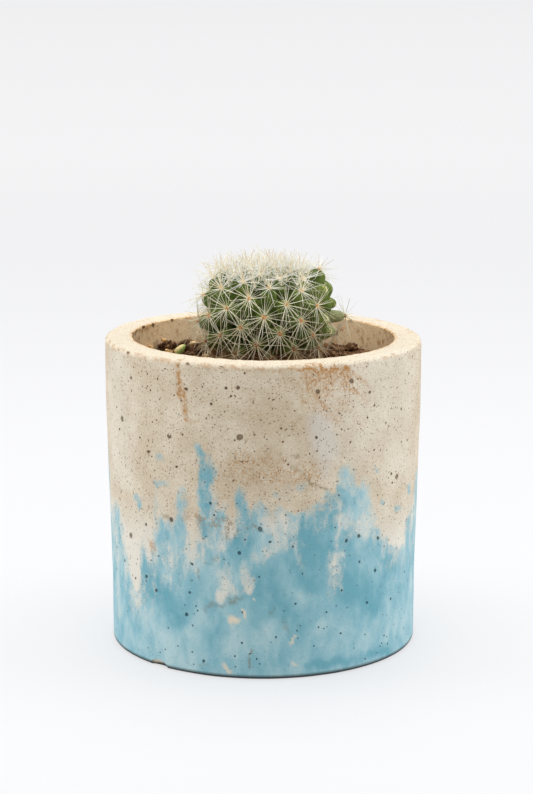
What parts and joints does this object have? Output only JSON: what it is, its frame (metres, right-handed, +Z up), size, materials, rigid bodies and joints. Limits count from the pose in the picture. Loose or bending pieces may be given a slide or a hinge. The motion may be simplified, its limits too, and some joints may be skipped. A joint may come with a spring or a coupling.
{
  "type": "potted old lady cactus",
  "caption": "Short flat-topped globe cactus with spiralling tubercles and star-shaped white spines, in a round cast-concrete pot with a faded blue lower half.",
  "frame": {"origin": "centre of the pot's underside, on the surface that it stands on", "axes": "+Z up along the pot's axis, -Y towards the side that the picture shows, +X to that side's right"},
  "size_m": [0.1, 0.1, 0.125],
  "materials": {
    "concrete": "matte",
    "potting_mix": "matte",
    "cactus_flesh": "satin",
    "shed_flesh": "satin",
    "bark": "matte"
  },
  "bodies": {
    "root": {"pot": "concrete", "soil": "potting_mix", "cactus": "cactus_flesh", "shed_tubercle": "shed_flesh", "chip_1": "bark", "chip_2": "bark", "chip_3": "bark", "chip_4": "bark", "chip_5": "bark", "chip_6": "bark", "chip_7": "bark", "chip_8": "bark", "chip_9": "bark"}
  },
  "joints": []
}
